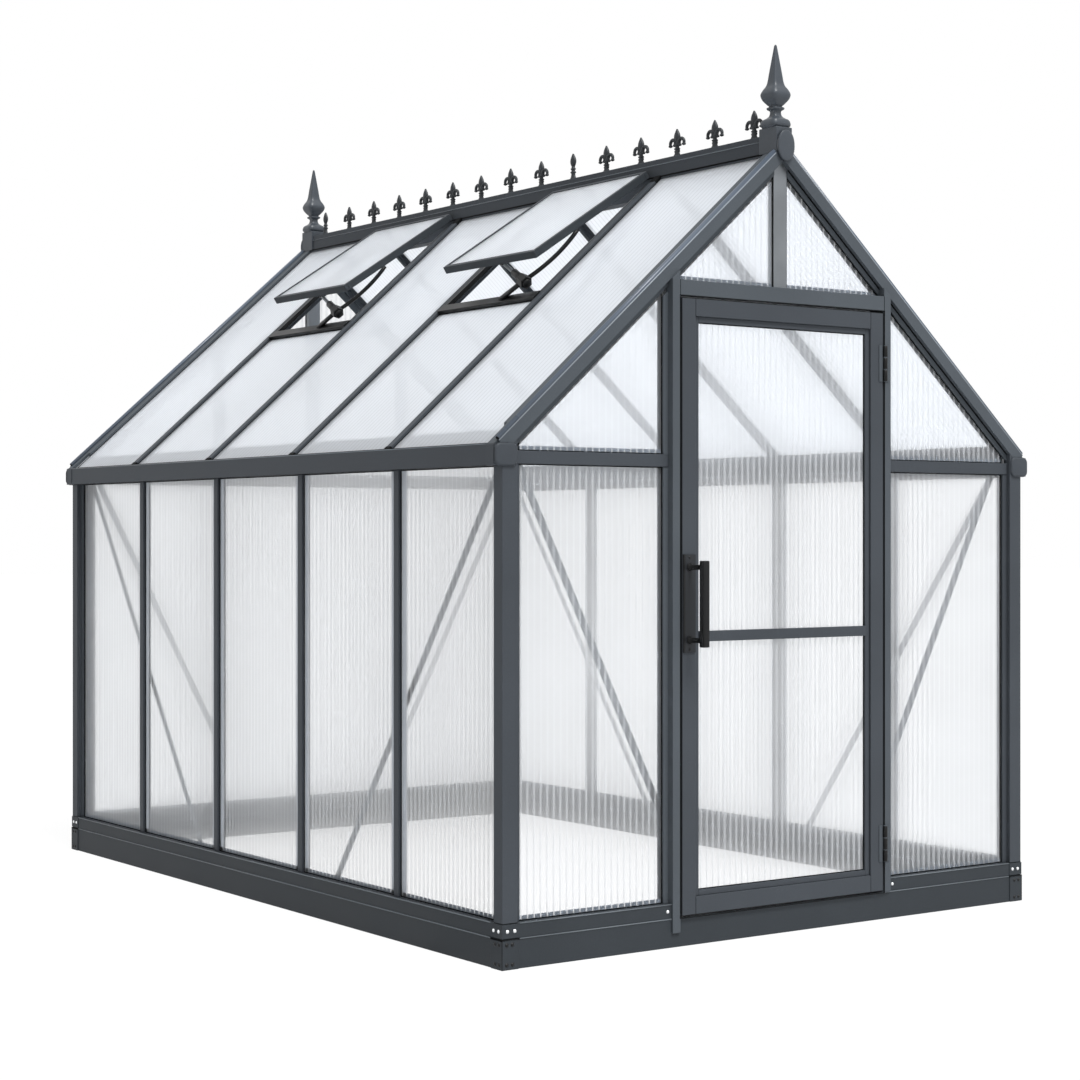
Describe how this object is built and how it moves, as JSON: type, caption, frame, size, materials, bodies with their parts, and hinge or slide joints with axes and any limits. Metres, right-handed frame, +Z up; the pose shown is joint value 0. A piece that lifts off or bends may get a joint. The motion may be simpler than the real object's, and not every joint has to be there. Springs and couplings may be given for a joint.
{
  "type": "polycarbonate greenhouse",
  "caption": "Walk-in gabled greenhouse: dark aluminium frame, twin-wall polycarbonate panes, hinged door, open roof vents, ridge cresting and finials.",
  "frame": {"origin": "on the ground, at the middle of the whole object's box seen from above; the door handle makes the box reach past the door gable, so the building's own middle lies a little towards +Y", "axes": "+Z up, +Y along the ridge away from the door gable, X across the gable with the door hinges on the +X side"},
  "size_m": [2.24, 3.204, 2.849],
  "materials": {
    "frame": "matt anthracite powder coat on aluminium",
    "mill": "plain mill aluminium",
    "pane": "clear twin-wall polycarbonate with ribs",
    "black": "satin black paint"
  },
  "bodies": {
    "frame": {"base_side_rails": "frame", "base_end_rails": "frame", "base_corner_brackets": "frame", "side_sills": "frame", "gable_sills": "frame", "corner_posts": "frame", "left_wall_bars": "frame", "right_wall_bars": "frame", "gutter_left": "frame", "gutter_right": "frame", "gutter_end_caps": "frame", "front_rafters": "frame", "rear_rafters": "frame", "left_roof_bars": "frame", "right_roof_bars": "frame", "ridge_beam": "frame", "ridge_cresting": "frame", "finial_blocks": "frame", "finials": "frame", "gable_bosses": "frame", "gable_eave_rails": "frame", "door_jambs": "frame", "door_header": "frame", "king_bars": "mill", "rear_gable_bars": "frame", "wall_braces": "mill", "gable_braces": "mill", "left_wall_panes": "pane", "right_wall_panes": "pane", "front_gable_panes": "pane", "rear_gable_panes": "pane", "left_roof_panes": "pane", "right_roof_panes": "pane", "vent_curbs": "black", "vent_flap_side_bars": "frame", "vent_flap_cross_bars": "frame", "vent_flap_panes": "pane", "vent_openers": "black", "frame_hinge_leaves": "black"},
    "door": {"door_stiles": "frame", "door_rails": "frame", "door_panes": "pane", "door_handle_plate": "black", "door_handle_grip": "black", "door_hinge_leaves": "black"}
  },
  "joints": [
    {"name": "door_hinge", "type": "hinge", "parent": "frame", "child": "door", "pos_m": [0.4295, -1.521, 0], "axis": [0, 0, 1], "range_deg": [0, 120]}
  ]
}
